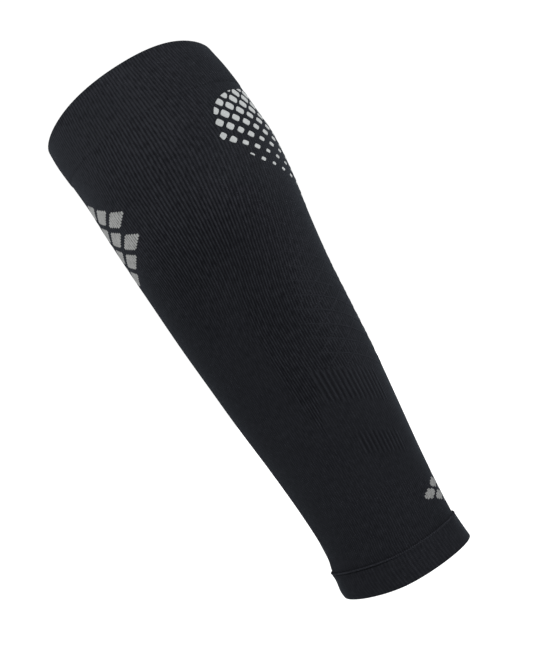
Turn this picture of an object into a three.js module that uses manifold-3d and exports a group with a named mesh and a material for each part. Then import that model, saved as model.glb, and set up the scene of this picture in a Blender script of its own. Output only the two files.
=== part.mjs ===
// A calf compression sleeve in the form it has when worn, in millimetres.
// +Z points up to the knee, -Y to the shin, +Y to the calf muscle and +X to the outer side of the leg.
// The origin lies on the leg's axis, at the level where the calf is fullest.

import * as THREE from "three";
import { mergeVertices } from "three/addons/utils/BufferGeometryUtils.js";
import Module from "manifold-3d";

const wasm = await Module();
wasm.setup();

// Driving sizes of the worn sleeve
const SLEEVE_LENGTH = 333;
const CALF_LEVEL = 267.4;
const CALF_DEPTH = 119.4;
const CALF_WIDTH = 114;
const ANKLE_DEPTH = 77.2;
const ANKLE_WIDTH = 68;
const SHIN_TAPER = 0.14;
const SIDE_FRONTNESS = 0.5;

// Knit walls: one layer on the calf, two turned layers at each end
const KNIT_WALL = 1.2;
const WELT_WALL = 2;
const HEM_WALL = 2.4;
const WELT_PROUD = 0.4;
const HEM_PROUD = 1;
const WELT_HEIGHT = 31.5;
const HEM_HEIGHT = 16.5;
const SEAM_GAP = 0.3;

// The rims aren't flat: the knee's rim is highest at the sides, the ankle's lifts over the instep
const KNEE_RIM_BOW = 3.8;
const KNEE_RIM_TILT = 4;
const ANKLE_RIM_LIFT = 5;
const ANKLE_RIM_BOW = 1.2;
const LIFT_SOFTNESS = 0.2;

// Raised rhombi in a staggered grid behind the calf
const DOT_PITCH_AROUND = 8.85;
const DOT_PITCH_ALONG = 4.05;
const DOT_CROWDING = 0.0168;
const DOT_ACROSS = 0.84;
const DOT_ALONG = 1.2;
const DOT_LEAN = 0.12;
const DOT_FILL = 0.64;
const DOT_FILL_LOSS = 0.084;
const DOT_FILL_MOST = 0.71;
const DOT_FILL_LEAST = 0.3;
const DOT_PROUD = 0.38;
const PATCH_HALF_COLUMNS = 8.5;
const DOT_ROW_ABOVE_WAIST = 6.2;
const PATCH_BELOW_SEAM = 5.2;
const PATCH_RISE = 25.9;
const PATCH_DROP = 52;
const PATCH_ROUNDNESS = 3.2;
const PATCH_TAPER = 1.15;
const PATCH_DRAW_IN = 0.17;
const PATCH_DRAW_BELOW_WAIST = 6;
const PATCH_DRAW_LENGTH = 18;

// Knitted ribs in two slanted blocks on each side of the lower calf
const RIB_PITCH_ANGLE = 3.75;
const RIB_WIDTH = 1.7;
const RIB_PROUD = 0.5;
const RIB_END_SLOPE = 1;
const RIB_BLOCK_SLOPE = 0.41;
const ROOT_DEPTH = 0.6;

// Rib blocks: level as a share of the sleeve's length, height in mm, angles round from the shin
const RIB_BLOCKS = [
  { level: 0.336, height: 19, from: 98, to: 146 },
  { level: 0.227, height: 13, from: 105, to: 141 },
];

// Facets
const COLUMNS = 48;
const BODY_ROWS = 24;
const BODY_LINING_ROWS = 9;
const CUFF_ROWS = 4;
const FOLD_STEPS = 5;
const MERGE_DISTANCE = 1e-4;

// The leg's sections from the ankle rim up. level is a share of the sleeve's length. front, back and
// side are the shares of the way from the ankle's half size, 0, to the calf's half size, 1.
const SECTIONS = [
  { level: 0.0, front: 0.05, back: -0.01, side: 0.03 },
  { level: 0.03, front: 0.155, back: -0.05, side: 0.01 },
  { level: 0.055, front: 0.118, back: -0.07, side: 0.0 },
  { level: 0.072, front: 0.125, back: -0.06, side: 0.01 },
  { level: 0.09, front: 0.06, back: -0.045, side: 0.025 },
  { level: 0.12, front: 0.027, back: -0.012, side: 0.075 },
  { level: 0.19, front: 0.083, back: 0.09, side: 0.165 },
  { level: 0.28, front: 0.22, back: 0.25, side: 0.34 },
  { level: 0.37, front: 0.39, back: 0.4, side: 0.5 },
  { level: 0.46, front: 0.53, back: 0.505, side: 0.64 },
  { level: 0.55, front: 0.663, back: 0.61, side: 0.765 },
  { level: 0.64, front: 0.765, back: 0.785, side: 0.89 },
  { level: 0.72, front: 0.853, back: 0.98, side: 0.975 },
  { level: 0.8, front: 0.923, back: 1.08, side: 1.0 },
  { level: 0.85, front: 0.95, back: 1.028, side: 0.99 },
  { level: 0.9, front: 1.02, back: 0.97, side: 0.98 },
  { level: 0.95, front: 1.1, back: 0.88, side: 0.97 },
  { level: 0.985, front: 1.102, back: 0.775, side: 0.96 },
  { level: 1.0, front: 1.096, back: 0.73, side: 0.955 },
];

const ANKLE_Z = -CALF_LEVEL;
const KNEE_Z = ANKLE_Z + SLEEVE_LENGTH;
const WELT_SEAM_Z = KNEE_Z - WELT_HEIGHT;
const PATCH_WAIST_Z = WELT_SEAM_Z - PATCH_BELOW_SEAM - PATCH_RISE;
const DOT_ROW_Z = PATCH_WAIST_Z + DOT_ROW_ABOVE_WAIST;
const DEGREE = Math.PI / 180;
const FULL_TURN = 2 * Math.PI;

// A smooth curve through one column of the section table
function columnAt(column, level) {
  const last = SECTIONS.length - 1;
  const within = Math.min(Math.max(level, SECTIONS[0].level), SECTIONS[last].level);
  let low = 0;
  while (low < last - 1 && SECTIONS[low + 1].level <= within) low += 1;
  const slopeAt = (i) => {
    const before = SECTIONS[Math.max(i - 1, 0)];
    const after = SECTIONS[Math.min(i + 1, last)];
    return (after[column] - before[column]) / (after.level - before.level);
  };
  const span = SECTIONS[low + 1].level - SECTIONS[low].level;
  const u = (within - SECTIONS[low].level) / span;
  const rise = u * u * (3 - 2 * u);
  return (
    SECTIONS[low][column] * (1 - rise) +
    SECTIONS[low + 1][column] * rise +
    span * u * (1 - u) * ((1 - u) * slopeAt(low) - u * slopeAt(low + 1))
  );
}

// Half sizes of the leg's section at a height
function sectionAt(height) {
  const level = (height - ANKLE_Z) / SLEEVE_LENGTH;
  const between = (ankle, calf, column) => (ankle + (calf - ankle) * columnAt(column, level)) / 2;
  const front = between(ANKLE_DEPTH, CALF_DEPTH, "front");
  const back = between(ANKLE_DEPTH, CALF_DEPTH, "back");
  const side = between(ANKLE_WIDTH, CALF_WIDTH, "side");
  return { middle: (back - front) / 2, depth: (back + front) / 2, side };
}

// A point of the sleeve's outer face, moved out by an offset. The angle runs round from the shin.
function legPoint(angle, height, offset = 0) {
  const { middle, depth, side } = sectionAt(height);
  const c = Math.cos(angle);
  const s = Math.sin(angle);
  const frontness = (1 + c) / 2;
  const fullness = 1 + SHIN_TAPER * (SIDE_FRONTNESS ** 2 - frontness ** 2);
  const alongX = side * (c * fullness + SHIN_TAPER * frontness * s * s);
  const alongY = depth * s;
  const length = Math.hypot(alongX, alongY);
  const x = side * s * fullness + (offset * alongY) / length;
  const y = middle - depth * c - (offset * alongX) / length;
  return new THREE.Vector3(x, y, height);
}

// Heights of the rims and seams round the leg
const kneeRim = (angle) =>
  KNEE_Z - KNEE_RIM_BOW * Math.cos(angle) ** 2 - (KNEE_RIM_TILT * Math.cos(angle)) / 2;
const instepShare = (angle) => (Math.cos(angle) + Math.hypot(Math.cos(angle), LIFT_SOFTNESS)) / 2;
const ankleRim = (angle) =>
  ANKLE_Z + ANKLE_RIM_LIFT * instepShare(angle) + ANKLE_RIM_BOW * Math.cos(angle) ** 2;
const weltSeam = () => WELT_SEAM_Z;
const hemSeam = (angle) => ankleRim(angle) + HEM_HEIGHT;

// A closed mesh from its points and quads, turned so that its faces look out
function closedMesh(points, quads) {
  const positions = points.flatMap((p) => [p.x, p.y, p.z]);
  let index = quads.flatMap(([a, b, c, d]) => [a, b, c, a, c, d]);
  let volume = 0;
  for (let i = 0; i < index.length; i += 3) {
    const [a, b, c] = [points[index[i]], points[index[i + 1]], points[index[i + 2]]];
    volume += a.dot(b.clone().cross(c));
  }
  if (volume < 0) index = index.reverse();
  const geometry = new THREE.BufferGeometry();
  geometry.setAttribute("position", new THREE.Float32BufferAttribute(positions, 3));
  geometry.setIndex(index);
  return geometry;
}

// A hollow ring swept round the leg. loopAt gives the closed section of its wall at an angle.
function ringWall(loopAt) {
  const points = [];
  const quads = [];
  for (let column = 0; column < COLUMNS; column += 1) {
    const angle = (column * FULL_TURN) / COLUMNS;
    const loop = loopAt(angle);
    const here = column * loop.length;
    const next = ((column + 1) % COLUMNS) * loop.length;
    loop.forEach(({ height, offset }, j) => {
      const k = (j + 1) % loop.length;
      points.push(legPoint(angle, height, offset));
      quads.push([here + j, next + j, next + k, here + k]);
    });
  }
  return closedMesh(points, quads);
}

// Evenly spaced heights from one to the other, both ends included
const steps = (from, to, count) =>
  Array.from({ length: count + 1 }, (_, i) => from + ((to - from) * i) / count);

// The single-layer tube between the two cuffs
function bodyWall() {
  return ringWall((angle) => {
    const low = hemSeam(angle) + SEAM_GAP;
    const high = WELT_SEAM_Z - SEAM_GAP;
    const face = steps(low, high, BODY_ROWS).map((height) => ({ height, offset: 0 }));
    const lining = steps(high, low, BODY_LINING_ROWS).map((height) => ({ height, offset: -KNIT_WALL }));
    return [...face, ...lining];
  });
}

// A double-layer cuff from its seam to its rim, where the knit turns inwards in a round fold
function cuffWall(seamAt, rimAt, wall, proud) {
  return ringWall((angle) => {
    const seam = seamAt(angle);
    const rim = rimAt(angle);
    const towards = Math.sign(rim - seam);
    const bend = wall / 2;
    const foldStart = rim - towards * bend;
    const face = steps(seam, foldStart, CUFF_ROWS).map((height) => ({ height, offset: proud }));
    const fold = steps(0, Math.PI, FOLD_STEPS)
      .slice(1, -1)
      .map((turn) => ({
        height: foldStart + towards * bend * Math.sin(turn),
        offset: proud - bend + bend * Math.cos(turn),
      }));
    const lining = steps(foldStart, seam, CUFF_ROWS).map((height) => ({ height, offset: proud - wall }));
    return [...face, ...fold, ...lining];
  });
}

// The side strip and both ends of a pad, whose outer and root rings have equal corner counts
function padGeometry(outer, root, endQuads) {
  const count = outer.length;
  const sides = outer.map((_, i) => [i, (i + 1) % count, count + ((i + 1) % count), count + i]);
  const tops = endQuads.map((quad) => [...quad].reverse());
  const roots = endQuads.map((quad) => quad.map((i) => i + count));
  return closedMesh([...outer, ...root], [...sides, ...tops, ...roots]);
}

// Half the patch's width in grid columns at a height: a rounded top over a tapering tail
function patchHalfColumns(height) {
  if (height > PATCH_WAIST_Z) {
    const up = Math.min((height - PATCH_WAIST_Z) / PATCH_RISE, 1);
    return PATCH_HALF_COLUMNS * (1 - up ** PATCH_ROUNDNESS) ** (1 / PATCH_ROUNDNESS);
  }
  const down = Math.min((PATCH_WAIST_Z - height) / PATCH_DROP, 1);
  return PATCH_HALF_COLUMNS * (1 - down ** PATCH_TAPER);
}

// The angle of a grid column, counted from the back. The columns crowd outwards and draw in upwards.
function dotAngle(column, height) {
  const upward = Math.max(height - PATCH_WAIST_Z + PATCH_DRAW_BELOW_WAIST, 0);
  const drawIn = 1 - PATCH_DRAW_IN * (1 - Math.exp(-upward / PATCH_DRAW_LENGTH));
  const reach = column * (1 - DOT_CROWDING * Math.abs(column)) * drawIn;
  return Math.PI - (reach * DOT_PITCH_AROUND) / (CALF_WIDTH / 2);
}

// One raised rhombus: its corners lie left, up, right and down of its centre, and it leans from the back
function dotPad(column, height, fill) {
  const across = fill * DOT_ACROSS;
  const along = fill * DOT_ALONG * DOT_PITCH_ALONG;
  const lean = fill * DOT_LEAN * Math.sign(column);
  const corners = [
    [column - across, height - lean * DOT_PITCH_ALONG],
    [column + lean, height + along],
    [column + across, height + lean * DOT_PITCH_ALONG],
    [column - lean, height - along],
  ];
  const ring = (offset) => corners.map(([c, h]) => legPoint(dotAngle(c, h), h, offset));
  return padGeometry(ring(DOT_PROUD), ring(-ROOT_DEPTH), [[1, 2, 3, 0]]);
}

// All dots whose centres lie in the patch
function dotPads() {
  const pads = [];
  const highest = PATCH_WAIST_Z + PATCH_RISE - DOT_ROW_Z;
  const lowest = PATCH_WAIST_Z - PATCH_DROP - DOT_ROW_Z;
  const firstRow = -Math.floor(highest / DOT_PITCH_ALONG);
  const lastRow = -Math.ceil(lowest / DOT_PITCH_ALONG);
  const widest = Math.ceil(PATCH_HALF_COLUMNS);
  for (let row = firstRow; row <= lastRow; row += 1) {
    const height = DOT_ROW_Z - row * DOT_PITCH_ALONG;
    for (let column = -widest; column <= widest; column += 1) {
      const onGrid = (row + column) % 2 === 0;
      if (!onGrid || Math.abs(column) > patchHalfColumns(height)) continue;
      const fill = DOT_FILL - DOT_FILL_LOSS * Math.floor(row / 2);
      pads.push(dotPad(column, height, Math.min(Math.max(fill, DOT_FILL_LEAST), DOT_FILL_MOST)));
    }
  }
  return pads;
}

// One rib along the leg, with a flat crest, slanting flanks and sloped ends
function ribPad(angle, low, high) {
  const middle = (low + high) / 2;
  const section = sectionAt(middle);
  const half = RIB_WIDTH / 2 / ((section.depth + section.side) / 2);
  const ring = (width, inset, offset) => {
    const heights = [low + inset, middle, high - inset];
    const right = heights.map((h) => legPoint(angle + width, h, offset));
    const left = heights.map((h) => legPoint(angle - width, h, offset)).reverse();
    return [...right, ...left];
  };
  const ends = [
    [0, 1, 4, 5],
    [1, 2, 3, 4],
  ];
  return padGeometry(ring(half / 2, RIB_END_SLOPE, RIB_PROUD), ring(half, 0, -ROOT_DEPTH), ends);
}

// Both rib blocks, on the outer and the inner side of the leg
function ribPads() {
  const pads = [];
  for (const block of RIB_BLOCKS) {
    const level = ANKLE_Z + block.level * SLEEVE_LENGTH;
    const section = sectionAt(level);
    const fall = RIB_BLOCK_SLOPE * DEGREE * ((section.depth + section.side) / 2);
    const centre = (block.from + block.to) / 2;
    const count = Math.floor((block.to - block.from) / RIB_PITCH_ANGLE) + 1;
    for (let i = 0; i < count; i += 1) {
      const turn = block.from + i * RIB_PITCH_ANGLE;
      const middle = level - fall * (turn - centre);
      const low = middle - block.height / 2;
      const high = middle + block.height / 2;
      pads.push(ribPad(turn * DEGREE, low, high));
      pads.push(ribPad(-turn * DEGREE, low, high));
    }
  }
  return pads;
}

// Fuses pads onto a wall
function fuse(wall, pads) {
  const solidOf = (geometry) => {
    const merged = mergeVertices(geometry, MERGE_DISTANCE);
    return new wasm.Manifold(
      new wasm.Mesh({
        numProp: 3,
        vertProperties: merged.attributes.position.array,
        triVerts: new Uint32Array(merged.index.array),
      }),
    );
  };
  const solid = pads.reduce((sum, pad) => sum.add(solidOf(pad)), solidOf(wall));
  const mesh = solid.getMesh();
  const geometry = new THREE.BufferGeometry();
  geometry.setAttribute("position", new THREE.Float32BufferAttribute(mesh.vertProperties, 3));
  geometry.setIndex(Array.from(mesh.triVerts));
  return geometry;
}

// A named piece with its knit's colour
function piece(name, geometry, colour) {
  const flat = geometry.toNonIndexed();
  flat.computeVertexNormals();
  const material = new THREE.MeshStandardMaterial({ color: colour, roughness: 0.9, metalness: 0 });
  const mesh = new THREE.Mesh(flat, material);
  mesh.name = name;
  return mesh;
}

const KNIT_COLOUR = 0x22242a;
const CUFF_COLOUR = 0x282a30;

const sleeve = new THREE.Group();
sleeve.add(piece("sleeve_body", fuse(bodyWall(), [...dotPads(), ...ribPads()]), KNIT_COLOUR));
sleeve.add(piece("top_cuff", cuffWall(weltSeam, kneeRim, WELT_WALL, WELT_PROUD), CUFF_COLOUR));
sleeve.add(piece("ankle_cuff", cuffWall(hemSeam, ankleRim, HEM_WALL, HEM_PROUD), CUFF_COLOUR));

export default sleeve;
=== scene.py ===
"""A calf compression sleeve in its worn form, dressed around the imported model.

Lengths here are in millimetres until points are handed to Blender, in metres. Angles run round the
leg from the shin, 0, past the outer side, 90 degrees, to the back of the calf, 180 degrees. A pair of
heights or of angles says where a change starts and where it is done.
"""

import math

import bpy
import numpy as np
from mathutils import Matrix, Vector


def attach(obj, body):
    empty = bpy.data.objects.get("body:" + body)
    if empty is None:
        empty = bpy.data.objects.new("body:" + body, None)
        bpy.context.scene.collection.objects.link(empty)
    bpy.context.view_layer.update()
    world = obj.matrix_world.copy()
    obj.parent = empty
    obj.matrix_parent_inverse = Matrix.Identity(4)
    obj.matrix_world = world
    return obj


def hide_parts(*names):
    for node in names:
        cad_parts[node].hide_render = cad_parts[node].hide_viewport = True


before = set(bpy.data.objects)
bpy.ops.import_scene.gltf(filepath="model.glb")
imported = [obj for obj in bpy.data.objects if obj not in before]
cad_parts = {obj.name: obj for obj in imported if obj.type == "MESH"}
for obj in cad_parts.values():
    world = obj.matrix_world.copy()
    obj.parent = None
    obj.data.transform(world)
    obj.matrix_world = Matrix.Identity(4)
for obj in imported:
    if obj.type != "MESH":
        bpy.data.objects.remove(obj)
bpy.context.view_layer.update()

METRES = 0.001

# The worn form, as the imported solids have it
SLEEVE_LENGTH = 333
CALF_LEVEL = 267.4
CALF_DEPTH = 119.4
CALF_WIDTH = 114
ANKLE_DEPTH = 77.2
ANKLE_WIDTH = 68
SHIN_TAPER = 0.14
SIDE_FRONTNESS = 0.5
KNIT_WALL = 1.2
WELT_HEIGHT = 31.5
HEM_HEIGHT = 16.5
KNEE_RIM_BOW = 3.8
KNEE_RIM_TILT = 4
KNEE_RIM_SHOULDER = 1.1
KNEE_RIM_SHOULDER_TILT = 0.4
ANKLE_RIM_LIFT = 5
ANKLE_RIM_BOW = 1.2
LIFT_SOFTNESS = 0.2
ANKLE_Z = -CALF_LEVEL
KNEE_Z = ANKLE_Z + SLEEVE_LENGTH
SECTIONS = [
    dict(level=0.0, front=0.05, back=-0.01, side=0.03),
    dict(level=0.03, front=0.155, back=-0.05, side=0.01),
    dict(level=0.055, front=0.118, back=-0.07, side=0.0),
    dict(level=0.072, front=0.125, back=-0.06, side=0.01),
    dict(level=0.09, front=0.06, back=-0.045, side=0.025),
    dict(level=0.12, front=0.027, back=-0.012, side=0.075),
    dict(level=0.19, front=0.083, back=0.09, side=0.165),
    dict(level=0.28, front=0.22, back=0.25, side=0.34),
    dict(level=0.37, front=0.39, back=0.4, side=0.5),
    dict(level=0.46, front=0.53, back=0.505, side=0.64),
    dict(level=0.55, front=0.663, back=0.61, side=0.765),
    dict(level=0.64, front=0.765, back=0.785, side=0.89),
    dict(level=0.72, front=0.853, back=0.98, side=0.975),
    dict(level=0.8, front=0.923, back=1.08, side=1.0),
    dict(level=0.85, front=0.95, back=1.028, side=0.99),
    dict(level=0.9, front=1.02, back=0.97, side=0.98),
    dict(level=0.95, front=1.1, back=0.88, side=0.97),
    dict(level=0.985, front=1.102, back=0.775, side=0.96),
    dict(level=1.0, front=1.096, back=0.73, side=0.955),
]

# The knit: wales run along the leg, courses round it
WALES = 184
COLUMNS_PER_WALE = 3
COLUMNS = WALES * COLUMNS_PER_WALE
COURSE_PITCH = 1.0
WALE_RELIEF = 0.2
BODY_ROWS = 150
LINING_ROWS = 8
BODY_UNDER_CUFF = 1.5

# The two turned cuffs. lip is how far the step beside the seam reaches along the leg, and strength is
# how strongly the wales are shaded.
WELT = dict(wall=2, proud=0.4, lip=1.8, rows=22, wales=WALES, strength=0.68)
HEM = dict(wall=2.4, proud=1, lip=0.5, rows=14, wales=120, strength=0.28)
LIP_DEPTH = 0.5
LIP_TURNS = (0, 30, 60)
LIP_RIDGE_SHARE = 0.5
RIM_RIDGE_LOSS = 0.5
FOLD_STEPS = 8
CUFF_LINING_ROWS = 6
CUFF_BEHIND = dict(loss=0.4, turn=(90, 140))

# How the wales run up the leg. place is where the wale that starts at the leg's side lies, as a share
# of the way to it from the shin, and closeness is the spacing of the wales there, as a share of their
# mean pitch. The knit makes up for both on the shin and at the back of the leg.
WALE_FLOW = [
    dict(height=-240, place=0.855, closeness=0.96),
    dict(height=-200, place=0.855, closeness=0.96),
    dict(height=-160, place=0.857, closeness=0.915),
    dict(height=-142, place=0.862, closeness=0.857),
    dict(height=-124, place=0.864, closeness=0.815),
    dict(height=-106, place=0.873, closeness=0.792),
    dict(height=-88, place=0.908, closeness=0.803),
    dict(height=-70, place=0.945, closeness=0.853),
    dict(height=-52, place=0.967, closeness=0.922),
    dict(height=-34, place=0.975, closeness=1.0),
    dict(height=-16, place=0.98, closeness=1.075),
    dict(height=2, place=0.987, closeness=1.135),
    dict(height=20, place=0.994, closeness=1.1),
    dict(height=38, place=0.998, closeness=1.0),
    dict(height=60, place=1.0, closeness=0.91),
]
MAKE_UP_POWER = 5

# How strongly the wales stand out in each part of the leg, in shares from 0 to 1. PANEL_EDGE is where
# the shin's part goes over into the calf's, in degrees from the panel line.
PANEL_EDGE = (-2, 2)
SHIN_WALES = dict(low=0.35, rise=(-125, -45), front=0.3, beside=(15, 60))
CALF_WALES = dict(low=0.25, gain=0.6, rise=(-158, -146), loss=0.55, behind=(118, 150))
WEDGE_WALES = dict(
    strength=0.9, rise=(-205, -190), edge=(-1, 2), angle=85, widening=12, widens=(-175, -140)
)
ANKLE_WALES = dict(strength=0.5, fade=(-222, -205))
KNEE_LOSS = dict(rise=(-45, 0), front=0.15, gain=0.3, behind=(75, 130))

# Painted light and shade on the yarn, in shares of its shade: lighter up towards the welt where light
# falls from above, lighter on the shin and on the calf's side panel, and darker at the back of the
# leg's top
PAINTED_LIGHT_CALF = dict(gain=0.4, rise=(-60, -15))
PAINTED_LIGHT_KNEE = dict(gain=0.33, rise=(0, 30))
PAINTED_LIGHT_SHIN = dict(gain=0.3, rise=(-110, -40), beside=(10, 60))
PAINTED_SHADE_BEHIND = dict(loss=0.2, rise=(-20, 30), side=(92, 110), back=(110, 165))
PAINTED_LIGHT_PANEL = dict(gain=0.22, start=(108, 130), end=(136, 158), top=(-30, -75), foot=(-150, -185))

# Rib blocks on the lower calf
RIB_PITCH = 3.75
RIB_RELIEF = 0.5
RIB_END = 1.6
RIB_BLOCK_SLOPE = 0.41
RIB_BLOCKS = [
    dict(level=0.336, height=19, start=98, end=146),
    dict(level=0.227, height=13, start=105, end=141),
]

# The line where the shin's panel meets the calf's: angle in degrees at a height
PANEL_LINE = [
    dict(height=-198, angle=92),
    dict(height=-175, angle=84),
    dict(height=-146, angle=79),
    dict(height=-117, angle=79),
    dict(height=-101, angle=81),
    dict(height=-64, angle=87),
    dict(height=-36, angle=111),
    dict(height=18, angle=126),
]
PANEL_SEAM_WIDTH = 1.6
PANEL_SEAM_RELIEF = 0.16
PANEL_SEAM_FOOT = (-205, -185)
PANEL_SEAM_TOP = (0, 18)

# Crossing raised lines on the calf's panel. They climb by their slope, in millimetres, with each degree
# round the leg, and one line may cross as many degrees as its span. They stop short of the dots, whose
# outer columns lie closer together than their pitch by LATTICE_DOT_CROWDING.
LATTICE_SLOPE = 0.4
LATTICE_PITCH = 9.2
LATTICE_START = -141
LATTICE_TOP = 14
LATTICE_FLOOR = -150
LATTICE_SPAN = 200
LATTICE_FIRST_ANGLE = 60
LATTICE_STEPS = 144
LATTICE_FEWEST_POINTS = 6
LATTICE_OFF_PANEL_LINE = 2
LATTICE_DOT_CROWDING = 1.25
LATTICE_DOT_GAP = 1
LATTICE_HALF_WIDTH = 0.5
LATTICE_RELIEF = 0.16
LATTICE_SINK = 0.34
LATTICE_ALL_ROUND = dict(share=0.1, fade=(0, -60))
LATTICE_BEHIND = dict(share=0.9, fade=(-30, -100), off_line=(22, 58))
LATTICE_LOW_EDGE = [
    dict(angle=90, height=-136),
    dict(angle=98, height=-138),
    dict(angle=146, height=-153),
    dict(angle=180, height=-156),
]
LATTICE_SECTION = [
    dict(across=-1, relief=-0.25),
    dict(across=-0.55, relief=0.55),
    dict(across=0, relief=1),
    dict(across=0.55, relief=0.55),
    dict(across=1, relief=-0.25),
    dict(across=0, relief=-1),
]

# The printed dots behind the calf. They fill every second place of a grid, and DOT_FILL_LOSS is what
# they lose with each second row down. In DOT_SLAB, share is a ring's size and rise its height in the
# slab. The patch is widest at its waist.
DOT_PITCH_AROUND = 8.85
DOT_PITCH_ALONG = 4.05
DOT_ROW_ABOVE_WAIST = 6.2
DOT_CROWDING = 0.0168
DOT_OUTER_COLUMN = 8
DOT_FILL = 0.66
DOT_FILL_LOSS = 0.087
DOT_FILL_MOST = 0.74
DOT_FILL_LEAST = 0.3
DOT_FILL_OUTWARD = 0.012
DOT_PROUD = 0.24
DOT_ROOT = -0.25
DOT_CORNER = 0.3
DOT_ACROSS = 0.84
DOT_ALONG = 1.2
DOT_LEAN = 0.12
DOT_EDGE_POINTS = 28
DOT_LEAST_WIDTH = 1.2
DOT_LEAST_HEIGHT = 0.8
DOT_SLAB = [
    dict(share=0.02, rise=1.0),
    dict(share=0.4, rise=1.0),
    dict(share=0.75, rise=1.0),
    dict(share=0.93, rise=1.0),
    dict(share=1.0, rise=0.62),
    dict(share=1.0, rise=0.0),
]
PATCH_HALF_COLUMNS = 8.5
PATCH_BELOW_SEAM = 5.2
PATCH_RISE = 25.9
PATCH_DROP = 52
PATCH_ROUNDNESS = 3.2
PATCH_TAPER = 1.15
PATCH_DRAW_IN = 0.17
PATCH_DRAW_BELOW_WAIST = 6
PATCH_DRAW_LENGTH = 18
PATCH_OUTLINE_ROWS = 60
PATCH_WAIST_Z = KNEE_Z - WELT_HEIGHT - PATCH_BELOW_SEAM - PATCH_RISE
DOT_ROW_Z = PATCH_WAIST_Z + DOT_ROW_ABOVE_WAIST

# The row of stitches over the hem
HEM_STITCHES = 192
HEM_STITCH_LENGTH = 0.95
HEM_STITCH_HALF_HEIGHT = 0.65
HEM_STITCH_SEAT = 0.72
HEM_STITCH_RELIEF = 0.55
HEM_STITCH_ABOVE_SEAM = 0.2
HEM_STITCH_SIDES = 6
HEM_STITCH_RINGS = [
    dict(along=-1, swell=0.25),
    dict(along=-0.6, swell=0.85),
    dict(along=0, swell=1),
    dict(along=0.6, swell=0.85),
    dict(along=1, swell=0.25),
]

# Knitted-in blocks of stepped lozenges, one on the shin and one low on the back. level is the block's
# height from the ankle rim in courses, wales and courses are one lozenge's width and height, and spread
# is how far the block reaches from its middle, squared, in lozenges.
SHIN_MOTIF = dict(centre=0, level=255, wales=14, courses=16, spread=5.5)
BACK_MOTIF = dict(centre=WALES / 2, level=36, wales=14, courses=8, spread=2.5)
LOZENGE_FILL = 0.37

# Finish of the yarn, and the painted light and shade of its knit
KNIT_ROUGHNESS = 0.9
KNIT_SPECULAR = 0.0
KNIT_SHEEN = 0.06
KNIT_SHEEN_ROUGHNESS = 0.35
KNIT_SHEEN_TINT = (0.75, 0.87, 1.0, 1)
# The knit's colour as a lit and a shaded copy: painted light on the crests of the wales and painted
# shade in the grooves between them
LIT_CREST_COLOUR = (0.0187, 0.0198, 0.0236, 1)
SHADED_GROOVE_COLOUR = (0.0012, 0.0013, 0.0017, 1)
CREST_SHARE = 0.5
# The motif's grey, mixed between its dark and light ends by the same painted light and shade as the
# knit
MOTIF_DARK = (0.012, 0.012, 0.012, 1)
MOTIF_LIGHT = (0.267, 0.27, 0.266, 1)
MOTIF_SHARE = 0.6
# Painted shade in the grooves of the wales and ribs, and painted light on the ribs' crests, on the
# loops, on dashes where single loops catch it and where the wales stand out strongly
WALE_SHADE = 0.66
WALE_GAIN = 0.28
RIB_SHADE = 0.85
RIB_CREST_LIGHT = 0.48
LOOP_SLANT = 1.3
LOOP_LIGHT = dict(gain=0.42, floor=0.797)
BLOTCHES = dict(scale=45, detail=4, gain=0.34, floor=0.83)
DASHES = dict(courses=3.5, detail=2, contrast=1.8, on_wales=0.6)
BUMP_DISTANCE = 0.2 * METRES
KNIT_BUMP = dict(strength=0.4, loops=0.7, crest=0.6)
YARN_BUMP_STRENGTH = 0.5
YARN_MOTTLE = dict(scale=700, detail=3)
LATTICE_YARN = dict(dark=(0.0078, 0.0082, 0.0099, 1), light=(0.0152, 0.016, 0.0193, 1))
SEAM_YARN = dict(dark=(0.0095, 0.01, 0.012, 1), light=(0.0205, 0.0215, 0.026, 1))

# Finish of the print
PRINT_ROUGHNESS = 0.5
PRINT_SPECULAR = 0.3
PRINT_BUMP_STRENGTH = 0.35
PRINT_DARK = (0.202, 0.212, 0.2115, 1)
PRINT_LIGHT = (0.363, 0.378, 0.377, 1)
PRINT_FINE = dict(scale=1100, detail=3, share=0.6)
PRINT_BROAD = dict(scale=220, detail=3, share=0.4)

# The stage, its lights and the camera. Places are in metres, the lens and its sensor in millimetres.
FLOOR_Z = -0.5
FLOOR_STEPS = 64
FLOOR_ROUGHNESS = 0.9
FLOOR_SPECULAR = 0.1
FLOOR_COLOUR = (0.96, 0.96, 0.96, 1)
FLOOR_RINGS = [
    dict(radius=1.0, rise=0.0),
    dict(radius=2.0, rise=0.0),
    dict(radius=2.6, rise=0.08),
    dict(radius=2.9, rise=0.25),
    dict(radius=3.0, rise=0.45),
]
WORLD_STRENGTH = 1.05
WORLD_COLOUR = (1, 1, 1, 1)
SUNS = [
    dict(name="key", towards=(-0.7, -0.2, -0.7), energy=1.3, softness=30),
    dict(name="calf_side", towards=(-0.05, -0.95, 0.1), energy=2.7, softness=40),
]
CAMERA_PLACE = (0.665886, -0.0009, -0.162909)
CAMERA_RIGHT = (-0.048897, 0.861709, -0.505042)
CAMERA_UP = (0.083040, 0.507403, 0.857698)
CAMERA_LENS = 61.85
CAMERA_SENSOR = 36

# Numbers of the colour sockets on Blender's mix node, whose names are shared with its other sockets
MIX_FIRST = 6
MIX_SECOND = 7
MIX_RESULT = 2


def column_of(table, name):
    return np.array([row[name] for row in table])


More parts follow.
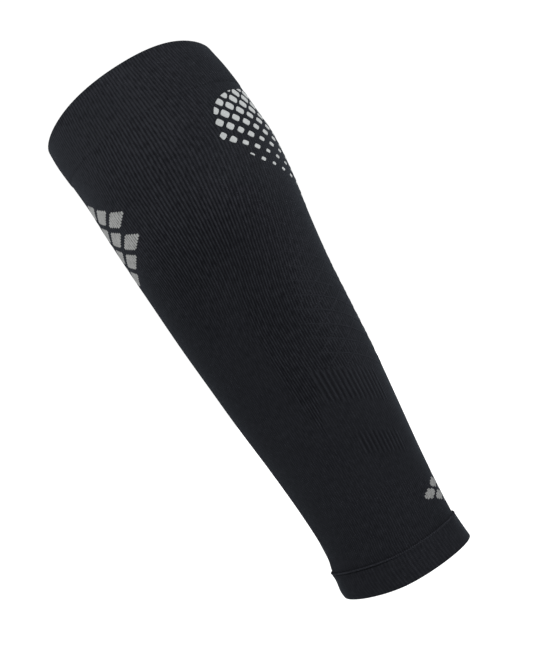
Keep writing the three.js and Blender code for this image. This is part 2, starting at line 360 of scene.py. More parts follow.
def section_share(column, level):
    """A smooth curve through one column of the section table."""
    levels = column_of(SECTIONS, "level")
    values = column_of(SECTIONS, column)
    last = len(SECTIONS) - 1
    before = np.maximum(np.arange(last + 1) - 1, 0)
    after = np.minimum(np.arange(last + 1) + 1, last)
    slopes = (values[after] - values[before]) / (levels[after] - levels[before])
    within = np.clip(level, levels[0], levels[-1])
    low = np.clip(np.searchsorted(levels, within, side="right") - 1, 0, last - 1)
    span = levels[low + 1] - levels[low]
    way = (within - levels[low]) / span
    rise = way * way * (3 - 2 * way)
    bend = span * way * (1 - way) * ((1 - way) * slopes[low] - way * slopes[low + 1])
    return values[low] * (1 - rise) + values[low + 1] * rise + bend


def section_at(height):
    """The middle, half depth and half width of the leg's section at a height."""
    level = (np.asarray(height, float) - ANKLE_Z) / SLEEVE_LENGTH

    def between(ankle, calf, column):
        return (ankle + (calf - ankle) * section_share(column, level)) / 2

    front = between(ANKLE_DEPTH, CALF_DEPTH, "front")
    back = between(ANKLE_DEPTH, CALF_DEPTH, "back")
    side = between(ANKLE_WIDTH, CALF_WIDTH, "side")
    return (back - front) / 2, (back + front) / 2, side


def leg_points(angle, height, offset):
    """Points of the sleeve's outer face, moved out by an offset, in metres."""
    angle, height, offset = np.broadcast_arrays(angle, height, offset)
    middle, depth, side = section_at(height)
    cos = np.cos(angle)
    sin = np.sin(angle)
    frontness = (1 + cos) / 2
    fullness = 1 + SHIN_TAPER * (SIDE_FRONTNESS**2 - frontness**2)
    along_x = side * (cos * fullness + SHIN_TAPER * frontness * sin * sin)
    along_y = depth * sin
    length = np.hypot(along_x, along_y)
    x = side * sin * fullness + offset * along_y / length
    y = middle - depth * cos - offset * along_x / length
    return np.stack([x, y, height], axis=-1) * METRES


def knee_rim(angle):
    cos = np.cos(angle)
    shoulder = (KNEE_RIM_SHOULDER - KNEE_RIM_SHOULDER_TILT * cos) * np.sin(2 * angle) ** 2
    return KNEE_Z - KNEE_RIM_BOW * cos**2 - KNEE_RIM_TILT * cos / 2 + shoulder


def ankle_rim(angle):
    cos = np.cos(angle)
    instep_share = (cos + np.hypot(cos, LIFT_SOFTNESS)) / 2
    return ANKLE_Z + ANKLE_RIM_LIFT * instep_share + ANKLE_RIM_BOW * cos**2


def welt_seam(angle):
    return np.full_like(angle, KNEE_Z - WELT_HEIGHT)


def hem_seam(angle):
    return ankle_rim(angle) + HEM_HEIGHT


def ramp(x, start, end):
    """0 at start and 1 at end, with a soft ramp between them."""
    way = np.clip((x - start) / (end - start), 0, 1)
    return way * way * (3 - 2 * way)


def turn_of(angle):
    """Degrees from the shin, the same on both sides of the leg."""
    return np.degrees(np.arccos(np.cos(angle)))


def panel_angle(height):
    """Where the panel line runs, in degrees from the shin."""
    return np.interp(height, column_of(PANEL_LINE, "height"), column_of(PANEL_LINE, "angle"))


def link_mesh(name, points, faces, uvs=None):
    """A smooth mesh object in the scene. uvs holds a pair for each face corner."""
    mesh = bpy.data.meshes.new(name)
    mesh.from_pydata(points, [], faces)
    if uvs is not None:
        layer = mesh.uv_layers.new(name="knit")
        layer.data.foreach_set("uv", uvs.reshape(-1).astype(np.float32))
    mesh.polygons.foreach_set("use_smooth", [True] * len(mesh.polygons))
    mesh.update()
    made = bpy.data.objects.new(name, mesh)
    bpy.context.scene.collection.objects.link(made)
    return made


def add_piece(name, points, faces, uvs=None):
    """A mesh piece that rides on the body."""
    piece = link_mesh(name, points, faces, uvs)
    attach(piece, "root")
    return piece


def add_values(piece, name, values):
    """One number for each point of a mesh, for its material to read."""
    layer = piece.data.attributes.new(name, "FLOAT", "POINT")
    layer.data.foreach_set("value", values.reshape(-1).astype(np.float32))


def wale_angle(turn, height):
    """Where the wale that starts at an angle of turn from the shin lies at a height."""
    heights = column_of(WALE_FLOW, "height")
    place = np.interp(height, heights, column_of(WALE_FLOW, "place"))
    closeness = np.interp(height, heights, column_of(WALE_FLOW, "closeness"))
    from_shin = np.where(turn > np.pi, 2 * np.pi - turn, turn)
    made_up = np.pi * (from_shin / np.pi) ** MAKE_UP_POWER
    fan = -np.sin(2 * from_shin) / 2
    moved = place * from_shin + (1 - place) * made_up + (closeness - place) * fan
    return np.where(turn > np.pi, 2 * np.pi - moved, moved)


def ring_wall(name, angle, height, offset):
    """A hollow ring round the leg from grids of columns by loop points."""
    columns, loop = height.shape
    i, j = np.meshgrid(np.arange(columns), np.arange(loop), indexing="ij")
    right = (i + 1) % columns
    up = (j + 1) % loop
    corners = [(i, j), (right, j), (right, up), (i, up)]
    faces = np.stack([column * loop + row for column, row in corners], axis=-1).reshape(-1, 4)
    wales = np.stack([i, i + 1, i + 1, i], axis=-1) / COLUMNS_PER_WALE
    above_rim = [height[column, row] - ANKLE_Z for column, row in corners]
    courses = np.stack(above_rim, axis=-1) / COURSE_PITCH
    points = leg_points(angle, height, offset).reshape(-1, 3)
    uvs = np.stack([wales, courses], axis=-1)
    return add_piece(name, points.tolist(), faces.tolist(), uvs)


def wale_ridge(columns):
    """1 on a wale's crest and 0 in the groove between two wales, for each mesh column."""
    share = (np.arange(columns) / COLUMNS_PER_WALE) % 1
    return (1 - (2 * np.abs(share - 0.5)) ** 2)[:, None]


def wale_strength(angle, height):
    """How strongly the wales stand out, from 0 to 1."""
    turn = turn_of(angle)
    on_calf = ramp(turn - panel_angle(height), *PANEL_EDGE)
    shin = SHIN_WALES["front"] + (1 - SHIN_WALES["front"]) * ramp(turn, *SHIN_WALES["beside"])
    shin = SHIN_WALES["low"] + (1 - SHIN_WALES["low"]) * ramp(height, *SHIN_WALES["rise"]) * shin
    calf = CALF_WALES["low"] + CALF_WALES["gain"] * ramp(height, *CALF_WALES["rise"])
    calf = calf * (1 - CALF_WALES["loss"] * ramp(turn, *CALF_WALES["behind"]))
    wedge_edge = WEDGE_WALES["angle"] + WEDGE_WALES["widening"] * ramp(height, *WEDGE_WALES["widens"])
    wedge = 1 - ramp(turn - wedge_edge, *WEDGE_WALES["edge"])
    wedge = wedge * ramp(height, *WEDGE_WALES["rise"]) * on_calf
    calf = np.maximum(calf, WEDGE_WALES["strength"] * wedge)
    ankle = ANKLE_WALES["strength"] * (1 - ramp(height, *ANKLE_WALES["fade"]))
    loss = KNEE_LOSS["front"] + KNEE_LOSS["gain"] * ramp(turn, *KNEE_LOSS["behind"])
    kept = 1 - ramp(height, *KNEE_LOSS["rise"]) * loss
    return np.maximum((shin * (1 - on_calf) + calf * on_calf) * kept, ankle)


def rib_relief(angle, height):
    """Height of the two rib blocks over the wall, and where they lie."""
    turn = turn_of(angle)
    relief = 0
    inside = 0
    for block in RIB_BLOCKS:
        level = ANKLE_Z + block["level"] * SLEEVE_LENGTH
        _, depth, side = section_at(level)
        fall = RIB_BLOCK_SLOPE * math.radians(1) * (depth + side) / 2
        middle = level - fall * (turn - (block["start"] + block["end"]) / 2)
        from_edge = block["height"] / 2 - np.abs(height - middle)
        across = ramp(turn, block["start"] - RIB_PITCH / 2, block["start"])
        across = across * (1 - ramp(turn, block["end"], block["end"] + RIB_PITCH / 2))
        mask = ramp(from_edge, -RIB_END / 2, RIB_END / 2) * across
        crest = np.cos(np.pi * (turn - block["start"]) / RIB_PITCH) ** 2
        relief = relief + mask * RIB_RELIEF * crest
        inside = np.maximum(inside, mask)
    return relief, inside


def panel_seam(angle, height):
    """A low ridge along the panel line, fading out at both of its ends."""
    _, depth, side = section_at(height)
    off_line = np.radians(turn_of(angle) - panel_angle(height)) * (depth + side) / 2
    ridge = PANEL_SEAM_RELIEF * np.exp(-((off_line / PANEL_SEAM_WIDTH) ** 2))
    return ridge * ramp(height, *PANEL_SEAM_FOOT) * (1 - ramp(height, *PANEL_SEAM_TOP))


def body_offset(angle, height):
    """The relief of the body's outer face."""
    ribs, in_block = rib_relief(angle, height)
    wales = WALE_RELIEF * wale_strength(angle, height) * (wale_ridge(COLUMNS) - 1)
    return wales * (1 - in_block) + ribs + panel_seam(angle, height)


def painted_light(angle, height):
    """Painted light and shade on the yarn: lighter towards the welt where light falls from above,
    lighter on the shin and calf panel, darker at the top of the back.
    """
    turn = turn_of(angle)
    lit_from_above = 1 + PAINTED_LIGHT_CALF["gain"] * ramp(height, *PAINTED_LIGHT_CALF["rise"])
    lit_from_above = lit_from_above + PAINTED_LIGHT_KNEE["gain"] * ramp(height, *PAINTED_LIGHT_KNEE["rise"])
    shin = (1 - ramp(turn, *PAINTED_LIGHT_SHIN["beside"])) * ramp(height, *PAINTED_LIGHT_SHIN["rise"])
    behind = ramp(turn, *PAINTED_SHADE_BEHIND["side"]) + ramp(turn, *PAINTED_SHADE_BEHIND["back"])
    behind = behind * ramp(height, *PAINTED_SHADE_BEHIND["rise"])
    panel = ramp(turn, *PAINTED_LIGHT_PANEL["start"]) * (1 - ramp(turn, *PAINTED_LIGHT_PANEL["end"]))
    panel = panel * ramp(height, *PAINTED_LIGHT_PANEL["top"]) * (1 - ramp(height, *PAINTED_LIGHT_PANEL["foot"]))
    change = PAINTED_LIGHT_SHIN["gain"] * shin - PAINTED_SHADE_BEHIND["loss"] * behind + PAINTED_LIGHT_PANEL["gain"] * panel
    return lit_from_above * (1 + change)


def steps(start, end, count):
    """Values from start to end in so many steps, along the second axis."""
    return start + (end - start) * np.linspace(0, 1, count + 1)[None, :]


def make_body():
    turn = np.arange(COLUMNS)[:, None] * 2 * np.pi / COLUMNS
    low = hem_seam(turn) - BODY_UNDER_CUFF
    high = welt_seam(turn) + BODY_UNDER_CUFF
    face = steps(low, high, BODY_ROWS)
    lining = steps(high, low, LINING_ROWS)
    offset = body_offset(wale_angle(turn, face), face)
    heights = np.concatenate([face, lining], axis=1)
    offsets = np.concatenate([offset, np.full_like(lining, -KNIT_WALL)], axis=1)
    angle = wale_angle(turn, heights)
    body = ring_wall("sleeve_knit", angle, heights, offsets)
    ribs, in_block = rib_relief(angle, heights)
    add_values(body, "wale_strength", wale_strength(angle, heights) * (1 - in_block))
    # Painted shade in the ribs' grooves and painted light on their crests, for the material to read
    add_values(body, "painted_rib_shade", (1 - RIB_CREST_LIGHT) * in_block - ribs / RIB_RELIEF)
    add_values(body, "painted_light", painted_light(angle, heights))
    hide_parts("sleeve_body")
    return body


def make_cuff(name, replaced, seam_at, rim_at, cuff):
    """A turned double cuff from its seam to the round fold at its rim."""
    columns = cuff["wales"] * COLUMNS_PER_WALE
    around = np.arange(columns)[:, None] * 2 * np.pi / columns
    seam = seam_at(around)
    rim = rim_at(around)
    towards = np.sign(rim - seam)
    bend = cuff["wall"] / 2
    fold_start = rim - towards * bend
    lip_start = seam + towards * cuff["lip"]
    lip_turn = np.radians(LIP_TURNS)[None, :]
    lip = lip_start - towards * cuff["lip"] * np.cos(lip_turn)
    lip_offsets = cuff["proud"] - LIP_DEPTH * (1 - np.sin(lip_turn))
    face = steps(lip_start, fold_start, cuff["rows"])
    ridge_share = steps(1, 1 - RIM_RIDGE_LOSS, cuff["rows"])
    fold_turn = np.linspace(0, np.pi, FOLD_STEPS + 1)[None, 1:-1]
    fold = fold_start + towards * bend * np.sin(fold_turn)
    fold_offsets = cuff["proud"] - bend + bend * np.cos(fold_turn)
    lining = steps(fold_start, seam, CUFF_LINING_ROWS)
    relief = WALE_RELIEF * (wale_ridge(columns) - 1)
    heights = np.concatenate([lip, face, fold, lining], axis=1)
    offsets = np.concatenate(
        [
            lip_offsets + LIP_RIDGE_SHARE * relief,
            cuff["proud"] + relief * ridge_share,
            fold_offsets + (1 - RIM_RIDGE_LOSS) * relief * (1 + np.cos(fold_turn)) / 2,
            np.full_like(lining, cuff["proud"] - cuff["wall"]),
        ],
        axis=1,
    )
    angle = wale_angle(around, heights)
    made = ring_wall(name, angle, heights, offsets)
    behind = ramp(turn_of(angle), *CUFF_BEHIND["turn"])
    add_values(made, "wale_strength", cuff["strength"] * (1 - CUFF_BEHIND["loss"] * behind))
    add_values(made, "painted_rib_shade", np.zeros_like(heights))
    add_values(made, "painted_light", painted_light(angle, heights))
    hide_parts(replaced)
    return made


def tubes(name, rings):
    """Closed tubes joined into one piece. Each is an array of rings by points round a ring."""
    points = []
    faces = []
    start = 0
    for ring in rings:
        count, around = ring.shape[:2]
        i, j = np.meshgrid(np.arange(count - 1), np.arange(around), indexing="ij")
        beside = (j + 1) % around
        corners = [i * around + j, i * around + beside, (i + 1) * around + beside, (i + 1) * around + j]
        faces += (np.stack(corners, axis=-1).reshape(-1, 4) + start).tolist()
        faces.append((np.arange(around)[::-1] + start).tolist())
        faces.append((np.arange(around) + (count - 1) * around + start).tolist())
        points += ring.reshape(-1, 3).tolist()
        start += count * around
    return add_piece(name, points, faces)


def patch_half_columns(height):
    """Half the dot patch's width in grid columns at a height."""
    up = np.clip((height - PATCH_WAIST_Z) / PATCH_RISE, 0, 1)
    down = np.clip((PATCH_WAIST_Z - height) / PATCH_DROP, 0, 1)
    top = (1 - up**PATCH_ROUNDNESS) ** (1 / PATCH_ROUNDNESS)
    return PATCH_HALF_COLUMNS * np.where(height > PATCH_WAIST_Z, top, 1 - down**PATCH_TAPER)


def dot_angle(column, height):
    """The angle of a grid column, which draws in towards the welt and crowds outwards."""
    upward = np.maximum(height - PATCH_WAIST_Z + PATCH_DRAW_BELOW_WAIST, 0)
    draw_in = 1 - PATCH_DRAW_IN * (1 - np.exp(-upward / PATCH_DRAW_LENGTH))
    reach = column * (1 - DOT_CROWDING * np.abs(column)) * draw_in
    return np.pi - reach * DOT_PITCH_AROUND / (CALF_WIDTH / 2)


def lattice_lines():
    """The lattice's lines as arrays of angle and height, cut to the calf's panel."""
    lines = []
    reach = LATTICE_TOP - LATTICE_FLOOR + LATTICE_SLOPE * LATTICE_SPAN
    count = int(reach / LATTICE_PITCH)
    turn = np.linspace(LATTICE_FIRST_ANGLE, 360 - LATTICE_FIRST_ANGLE, LATTICE_STEPS + 1)
    from_shin = turn_of(np.radians(turn))
    low_edge = column_of(LATTICE_LOW_EDGE, "height")
    low_edge = np.interp(from_shin, column_of(LATTICE_LOW_EDGE, "angle"), low_edge)
    column = np.abs(turn - 180) * math.radians(1) * (CALF_WIDTH / 2) / DOT_PITCH_AROUND
    for direction in (1, -1):
        for line in range(-count, count + 1):
            height = LATTICE_START + line * LATTICE_PITCH + direction * LATTICE_SLOPE * (turn - 180)
            inside = from_shin > panel_angle(height) + LATTICE_OFF_PANEL_LINE
            inside &= (height < LATTICE_TOP) & (height > low_edge)
            off_dots = column * LATTICE_DOT_CROWDING > patch_half_columns(height) + LATTICE_DOT_GAP
            inside &= off_dots | (height < PATCH_WAIST_Z - PATCH_DROP - DOT_PITCH_ALONG)
            runs = np.split(np.arange(len(turn)), np.flatnonzero(np.diff(inside.astype(int))) + 1)
            for run in runs:
                if inside[run[0]] and len(run) >= LATTICE_FEWEST_POINTS:
                    lines.append((np.radians(turn[run]), height[run], direction))
    return lines


def make_lattice():
    """Lines that sink into the knit where the lattice doesn't show."""
    across = column_of(LATTICE_SECTION, "across") * LATTICE_HALF_WIDTH
    relief = column_of(LATTICE_SECTION, "relief") * LATTICE_RELIEF
    rings = []
    for angle, height, direction in lattice_lines():
        _, depth, side = section_at(height)
        radius = (depth + side) / 2
        slope = direction * LATTICE_SLOPE / (math.radians(1) * radius)
        length = np.hypot(1, slope)
        off_line = turn_of(angle) - panel_angle(height)
        behind = ramp(height, *LATTICE_BEHIND["fade"]) * ramp(off_line, *LATTICE_BEHIND["off_line"])
        shown = LATTICE_ALL_ROUND["share"] * ramp(height, *LATTICE_ALL_ROUND["fade"])
        shown = shown + LATTICE_BEHIND["share"] * behind
        ring_angle = angle[:, None] - (slope / length / radius)[:, None] * across
        ring_height = height[:, None] + (1 / length)[:, None] * across
        offset = relief - LATTICE_SINK * (1 - shown[:, None])
        rings.append(leg_points(ring_angle, ring_height, offset)[:, ::-1])
    return tubes("raised_lattice", rings)


def dot_outline(column, height, fill):
    """A leaning rhombus with rounded corners, as points of column and height."""
    turn = np.arange(DOT_EDGE_POINTS) * 2 * np.pi / DOT_EDGE_POINTS
    power = 1 + DOT_CORNER
    reach = (np.abs(np.cos(turn)) ** power + np.abs(np.sin(turn)) ** power) ** (-1 / power)
    reach = reach * fill * 2 ** (1 / power) / 2
    across = reach * np.cos(turn)
    along = reach * np.sin(turn)
    lean = DOT_LEAN * np.sign(column)
    columns = column + DOT_ACROSS * across + lean * along
    heights = height + DOT_PITCH_ALONG * (DOT_ALONG * along + lean * across)
    return np.stack([columns, heights], axis=-1)


def patch_outline():
    """The dot patch's outline, counterclockwise, as points of column and height."""
    top = PATCH_WAIST_Z + PATCH_RISE
    bottom = PATCH_WAIST_Z - PATCH_DROP
    rise = (1 - np.cos(np.linspace(0, np.pi, PATCH_OUTLINE_ROWS))) / 2
    height = bottom + (top - bottom) * rise
    half = patch_half_columns(height)
    right = np.stack([half, height], axis=-1)
    left = np.stack([-half, height], axis=-1)[::-1]
    return np.concatenate([right, left[1:-1]])


def clip(polygon, outline):
    """The part of a convex polygon that lies inside a convex counterclockwise outline."""
    kept = list(polygon)
    for start, end in zip(outline, np.roll(outline, -1, axis=0)):
        edge = end - start
        sides = [edge[0] * (point[1] - start[1]) - edge[1] * (point[0] - start[0]) for point in kept]
        made = []
        for k, point in enumerate(kept):
            before = kept[k - 1]
            side_before = sides[k - 1]
            if (sides[k] >= 0) != (side_before >= 0):
                share = side_before / (side_before - sides[k])
                made.append(before + (point - before) * share)
            if sides[k] >= 0:
                made.append(point)
        kept = made
        if len(kept) < 3:
            return None
    return np.array(kept)


def dot_slab(polygon):
    """Rings of a thin slab over a polygon, from its middle out and over its edge."""
    centre = polygon.mean(axis=0)
    shares = column_of(DOT_SLAB, "share")
    offsets = DOT_ROOT + (DOT_PROUD - DOT_ROOT) * column_of(DOT_SLAB, "rise")
    grid = centre + (polygon - centre)[None] * shares[:, None, None]
    column = grid[..., 0]
    height = grid[..., 1]
    return leg_points(dot_angle(column, height), height, offsets[:, None])


def resample(polygon, count):
    """The polygon with count points evenly along its outline."""
    closed = np.concatenate([polygon, polygon[:1]])
    scaled = closed * np.array([DOT_PITCH_AROUND, 1.0])
    along = np.concatenate([[0], np.cumsum(np.linalg.norm(np.diff(scaled, axis=0), axis=1))])
    at = np.linspace(0, along[-1], count, endpoint=False)
    return np.stack([np.interp(at, along, closed[:, k]) for k in (0, 1)], axis=-1)


def make_dots():
    """Dots on every second place of the grid, smaller row by row down the calf."""
    outline = patch_outline()
    slabs = []
    top = PATCH_WAIST_Z + PATCH_RISE - DOT_ROW_Z
    bottom = PATCH_WAIST_Z - PATCH_DROP - DOT_ROW_Z
    first = -math.floor(top / DOT_PITCH_ALONG) - 1
    last = -math.ceil(bottom / DOT_PITCH_ALONG) + 1
    widest = math.ceil(PATCH_HALF_COLUMNS) + 1
    for row in range(first, last + 1):
        for column in range(-widest, widest + 1):
            if (row + column) % 2:
                continue
            outward = DOT_FILL_OUTWARD * (abs(column) - DOT_OUTER_COLUMN)
            fill = DOT_FILL - DOT_FILL_LOSS * (row // 2) + outward
            fill = min(max(fill, DOT_FILL_LEAST), DOT_FILL_MOST)
            height = DOT_ROW_Z - row * DOT_PITCH_ALONG
            polygon = clip(dot_outline(column, height, fill), outline)
            if polygon is None:
                continue
            size = np.ptp(polygon, axis=0)
            if size[0] * DOT_PITCH_AROUND < DOT_LEAST_WIDTH or size[1] < DOT_LEAST_HEIGHT:
                continue
            slabs.append(dot_slab(resample(polygon, DOT_EDGE_POINTS)))
    return tubes("printed_dots", slabs)


def make_hem_stitches():
    """A row of short stitches round the leg, just over the hem's seam."""
    along = column_of(HEM_STITCH_RINGS, "along") * HEM_STITCH_LENGTH * np.pi / HEM_STITCHES
    swell = column_of(HEM_STITCH_RINGS, "swell")[:, None]
    turn = np.arange(HEM_STITCH_SIDES)[None, :] * 2 * np.pi / HEM_STITCH_SIDES
    out = HEM_STITCH_SEAT + HEM_STITCH_RELIEF * swell * np.cos(turn)
    rings = []
    for stitch in range(HEM_STITCHES):
        angle = (stitch + 0.5) * 2 * np.pi / HEM_STITCHES
        middle = hem_seam(angle) + HEM_STITCH_ABOVE_SEAM
        up = middle + HEM_STITCH_HALF_HEIGHT * swell * np.sin(turn)
        rings.append(leg_points(angle + along[:, None], up, out))
    return tubes("hem_stitches", rings)


def node(tree, kind, **settings):
    made = tree.nodes.new(kind)
    for key, value in settings.items():
        setattr(made, key, value)
    return made


def feed(tree, socket, value):
    """Links a socket to another node's output, or sets it to a number or colour."""
    if isinstance(value, bpy.types.NodeSocket):
        tree.links.new(value, socket)
    else:
        socket.default_value = value


def calc(tree, operation, *values):
    made = node(tree, "ShaderNodeMath", operation=operation)
    for socket, value in zip(made.inputs, values):
        feed(tree, socket, value)
    return made.outputs[0]


def mix_colour(tree, share, first, second):
    made = node(tree, "ShaderNodeMix", data_type="RGBA")
    feed(tree, made.inputs["Factor"], share)
    feed(tree, made.inputs[MIX_FIRST], first)
    feed(tree, made.inputs[MIX_SECOND], second)
    return made.outputs[MIX_RESULT]


def noise_at(tree, place, scale, detail):
    made = node(tree, "ShaderNodeTexNoise")
    feed(tree, made.inputs["Vector"], place)
    made.inputs["Scale"].default_value = scale
    made.inputs["Detail"].default_value = detail
    return made.outputs["Fac"]


def noise(tree, look):
    """Noise over a piece, from the scale and detail in one of the tables above."""
    place = node(tree, "ShaderNodeTexCoord")
    return noise_at(tree, place.outputs["Object"], look["scale"], look["detail"])


def dash_noise(tree, wale, course):
    """Noise that is one wale wide and several courses long, as single loops catch the light."""
    place = node(tree, "ShaderNodeCombineXYZ")
    feed(tree, place.inputs[0], wale)
    feed(tree, place.inputs[1], calc(tree, "DIVIDE", course, DASHES["courses"]))
    return noise_at(tree, place.outputs[0], 1, DASHES["detail"])


def knit_coordinates(tree):
    """The place on the knit: in wales round the leg and courses along it."""
    uv = node(tree, "ShaderNodeUVMap", uv_map="knit")
    split = node(tree, "ShaderNodeSeparateXYZ")
    feed(tree, split.inputs[0], uv.outputs[0])
    return split.outputs[0], split.outputs[1]


def stitch_height(tree, wale, course):
    """Height of a wale's crest, and of the knit's loops on it: a V in each wale and course."""
    across = calc(tree, "ABSOLUTE", calc(tree, "SUBTRACT", calc(tree, "FRACT", wale), 0.5))
    crest = calc(tree, "SUBTRACT", 1.0, calc(tree, "POWER", calc(tree, "MULTIPLY", across, 2.0), 2.0))
    phase = calc(tree, "ADD", course, calc(tree, "MULTIPLY", across, LOOP_SLANT))
    wave = calc(tree, "COSINE", calc(tree, "MULTIPLY", phase, 2 * math.pi))
    loops = calc(tree, "MULTIPLY_ADD", wave, 0.5, 0.5)
    return crest, calc(tree, "MULTIPLY", crest, loops)


def motif_mask(tree, wale, course, motif):
    """1 inside the stepped lozenges of a motif and 0 elsewhere."""
    half = WALES / 2
    around = calc(tree, "SUBTRACT", wale, motif["centre"] - half)
    around = calc(tree, "SUBTRACT", calc(tree, "FLOORED_MODULO", around, WALES), half)
    across = calc(tree, "ADD", calc(tree, "FLOOR", around), 0.5)
    across = calc(tree, "DIVIDE", across, motif["wales"])
    along = calc(tree, "ADD", calc(tree, "FLOOR", course), 0.5 - motif["level"])
    along = calc(tree, "DIVIDE", along, motif["courses"])
    mask = 1.0
    spread = 0.0
    for diagonal in (calc(tree, "ADD", across, along), calc(tree, "SUBTRACT", across, along)):
        cell = calc(tree, "FLOOR", calc(tree, "ADD", diagonal, 0.5))
        off_middle = calc(tree, "ABSOLUTE", calc(tree, "SUBTRACT", diagonal, cell))
        mask = calc(tree, "MULTIPLY", mask, calc(tree, "LESS_THAN", off_middle, LOZENGE_FILL))
        spread = calc(tree, "MULTIPLY_ADD", cell, cell, spread)
    return calc(tree, "MULTIPLY", mask, calc(tree, "LESS_THAN", spread, motif["spread"]))


def new_material(name):
    material = bpy.data.materials.new(name)
    material.use_nodes = True
    tree = material.node_tree
    return material, tree, tree.nodes["Principled BSDF"]


def value_of(tree, name):
    return node(tree, "ShaderNodeAttribute", attribute_name=name).outputs["Fac"]


def add_bump(tree, shader, height, strength):
    bump = node(tree, "ShaderNodeBump")
    bump.inputs["Strength"].default_value = strength
    bump.inputs["Distance"].default_value = BUMP_DISTANCE
    feed(tree, bump.inputs["Height"], height)
    feed(tree, shader.inputs["Normal"], bump.outputs[0])


def knit_shader(shader):
    """The sheen and dull gloss that all the knits share."""
    shader.inputs["Roughness"].default_value = KNIT_ROUGHNESS
    shader.inputs["Specular IOR Level"].default_value = KNIT_SPECULAR
    shader.inputs["Sheen Weight"].default_value = KNIT_SHEEN
    shader.inputs["Sheen Roughness"].default_value = KNIT_SHEEN_ROUGHNESS
    shader.inputs["Sheen Tint"].default_value = KNIT_SHEEN_TINT


def knit_material(name, motifs=()):
    """A matte nylon knit with painted shade in the grooves between its wales and ribs and painted light
    on their crests and loops.
    """
    material, tree, shader = new_material(name)
    wale, course = knit_coordinates(tree)
    crest, loops = stitch_height(tree, wale, course)
    strength = value_of(tree, "wale_strength")
    turn = calc(tree, "COSINE", calc(tree, "MULTIPLY", wale, 2 * math.pi))
    groove = calc(tree, "MULTIPLY", calc(tree, "MULTIPLY_ADD", turn, 0.5, 0.5), strength)
    in_rib = calc(tree, "MULTIPLY", value_of(tree, "painted_rib_shade"), RIB_SHADE)
    dashes = calc(tree, "SUBTRACT", dash_noise(tree, wale, course), 0.5)
    contrast = calc(tree, "MULTIPLY_ADD", strength, DASHES["on_wales"], 1 - DASHES["on_wales"])
    contrast = calc(tree, "MULTIPLY", contrast, DASHES["contrast"])
    # Painted light and shade, multiplied together with random blotches: shade in the grooves, light on
    # crests, dashes and loops, and each part's painted light
    shades = [
        calc(tree, "SUBTRACT", 1.0, calc(tree, "MULTIPLY", groove, WALE_SHADE)),
        calc(tree, "MULTIPLY_ADD", strength, WALE_GAIN, 1.0),
        calc(tree, "SUBTRACT", 1.0, in_rib),
        calc(tree, "MULTIPLY_ADD", dashes, contrast, 1.0),
        calc(tree, "MULTIPLY_ADD", loops, LOOP_LIGHT["gain"], LOOP_LIGHT["floor"]),
        calc(tree, "MULTIPLY_ADD", noise(tree, BLOTCHES), BLOTCHES["gain"], BLOTCHES["floor"]),
        value_of(tree, "painted_light"),
    ]
    light = shades[0]
    for shade in shades[1:]:
        light = calc(tree, "MULTIPLY", light, shade)
    base = mix_colour(tree, calc(tree, "MULTIPLY", light, CREST_SHARE), SHADED_GROOVE_COLOUR, LIT_CREST_COLOUR)
    for motif in motifs:
        grey = mix_colour(tree, calc(tree, "MULTIPLY", light, MOTIF_SHARE), MOTIF_DARK, MOTIF_LIGHT)
        base = mix_colour(tree, motif_mask(tree, wale, course, motif), base, grey)
    feed(tree, shader.inputs["Base Color"], base)
    knit_shader(shader)
    height = calc(tree, "MULTIPLY", crest, KNIT_BUMP["crest"])
    height = calc(tree, "MULTIPLY_ADD", loops, KNIT_BUMP["loops"], height)
    add_bump(tree, shader, height, KNIT_BUMP["strength"])
    return material


def yarn_material(name, yarn):
    """Plain matte yarn for the lattice and the hem's stitches."""
    material, tree, shader = new_material(name)
    mottle = noise(tree, YARN_MOTTLE)
    feed(tree, shader.inputs["Base Color"], mix_colour(tree, mottle, yarn["dark"], yarn["light"]))
    knit_shader(shader)
    add_bump(tree, shader, mottle, YARN_BUMP_STRENGTH)
    return material


def print_material():
    """A satin pale print film that shows a little of the knit under it."""
    material, tree, shader = new_material("print_film")
    fine = noise(tree, PRINT_FINE)
    shade = calc(tree, "MULTIPLY", noise(tree, PRINT_BROAD), PRINT_BROAD["share"])
    shade = calc(tree, "MULTIPLY_ADD", fine, PRINT_FINE["share"], shade)
    feed(tree, shader.inputs["Base Color"], mix_colour(tree, shade, PRINT_DARK, PRINT_LIGHT))
    shader.inputs["Roughness"].default_value = PRINT_ROUGHNESS
    shader.inputs["Specular IOR Level"].default_value = PRINT_SPECULAR
    add_bump(tree, shader, fine, PRINT_BUMP_STRENGTH)
    return material


def floor_material():
    material, _, shader = new_material("pale_floor")
    shader.inputs["Base Color"].default_value = FLOOR_COLOUR
    shader.inputs["Roughness"].default_value = FLOOR_ROUGHNESS
    shader.inputs["Specular IOR Level"].default_value = FLOOR_SPECULAR
    return material


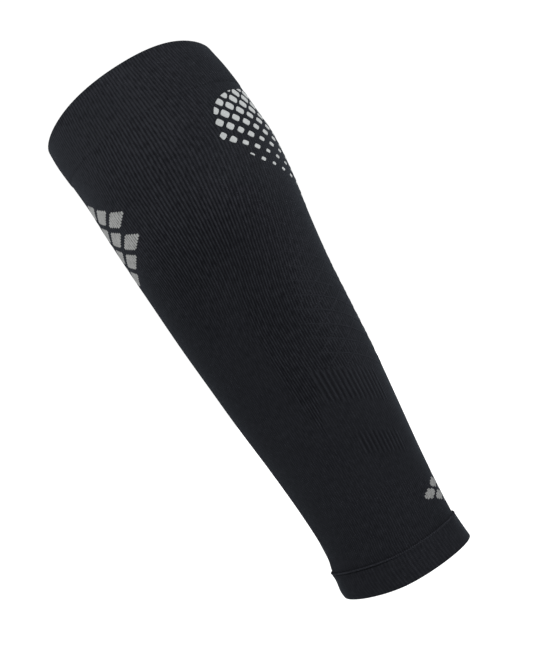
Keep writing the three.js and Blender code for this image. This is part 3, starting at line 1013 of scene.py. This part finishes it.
def make_stage():
    """A pale floor that curls up at its edge, low enough to let the side light in."""
    points = [(0, 0, FLOOR_Z)]
    faces = []
    for index, ring in enumerate(FLOOR_RINGS):
        for k in range(FLOOR_STEPS):
            turn = 2 * math.pi * k / FLOOR_STEPS
            x = ring["radius"] * math.cos(turn)
            y = ring["radius"] * math.sin(turn)
            points.append((x, y, FLOOR_Z + ring["rise"]))
            here = 1 + index * FLOOR_STEPS + k
            beside = 1 + index * FLOOR_STEPS + (k + 1) % FLOOR_STEPS
            if index == 0:
                faces.append((0, here, beside))
            else:
                faces.append((here - FLOOR_STEPS, here, beside, beside - FLOOR_STEPS))
    floor = link_mesh("floor", points, faces)
    floor.data.materials.append(floor_material())


def make_lights():
    world = bpy.data.worlds.new("studio")
    bpy.context.scene.world = world
    world.use_nodes = True
    background = world.node_tree.nodes["Background"]
    background.inputs["Color"].default_value = WORLD_COLOUR
    background.inputs["Strength"].default_value = WORLD_STRENGTH
    for row in SUNS:
        lamp = bpy.data.lights.new(row["name"], "SUN")
        lamp.energy = row["energy"]
        lamp.angle = math.radians(row["softness"])
        sun = bpy.data.objects.new(row["name"], lamp)
        sun.rotation_mode = "QUATERNION"
        sun.rotation_quaternion = Vector(row["towards"]).to_track_quat("-Z", "Y")
        bpy.context.scene.collection.objects.link(sun)


def make_camera():
    """A long lens level with the leg's side, rolled so that the sleeve leans as it is shown."""
    right = Vector(CAMERA_RIGHT)
    up = Vector(CAMERA_UP)
    turned = Matrix((right, up, right.cross(up))).transposed()
    data = bpy.data.cameras.new("camera")
    data.lens = CAMERA_LENS
    data.sensor_width = CAMERA_SENSOR
    camera = bpy.data.objects.new("camera", data)
    camera.matrix_world = Matrix.Translation(Vector(CAMERA_PLACE)) @ turned.to_4x4()
    bpy.context.scene.collection.objects.link(camera)
    bpy.context.scene.camera = camera


make_camera()
make_lights()
make_stage()

body = make_body()
top_cuff = make_cuff("top_welt", "top_cuff", welt_seam, knee_rim, WELT)
ankle_cuff = make_cuff("ankle_hem", "ankle_cuff", hem_seam, ankle_rim, HEM)
lattice = make_lattice()
dots = make_dots()
hem_stitches = make_hem_stitches()

body_knit = knit_material("body_knit", (SHIN_MOTIF, BACK_MOTIF))
cuff_knit = knit_material("cuff_knit")
body.data.materials.append(body_knit)
top_cuff.data.materials.append(cuff_knit)
ankle_cuff.data.materials.append(cuff_knit)
lattice.data.materials.append(yarn_material("lattice_yarn", LATTICE_YARN))
hem_stitches.data.materials.append(yarn_material("seam_yarn", SEAM_YARN))
dots.data.materials.append(print_material())

scene = bpy.context.scene
scene.view_settings.view_transform = "Standard"
scene.view_settings.look = "None"
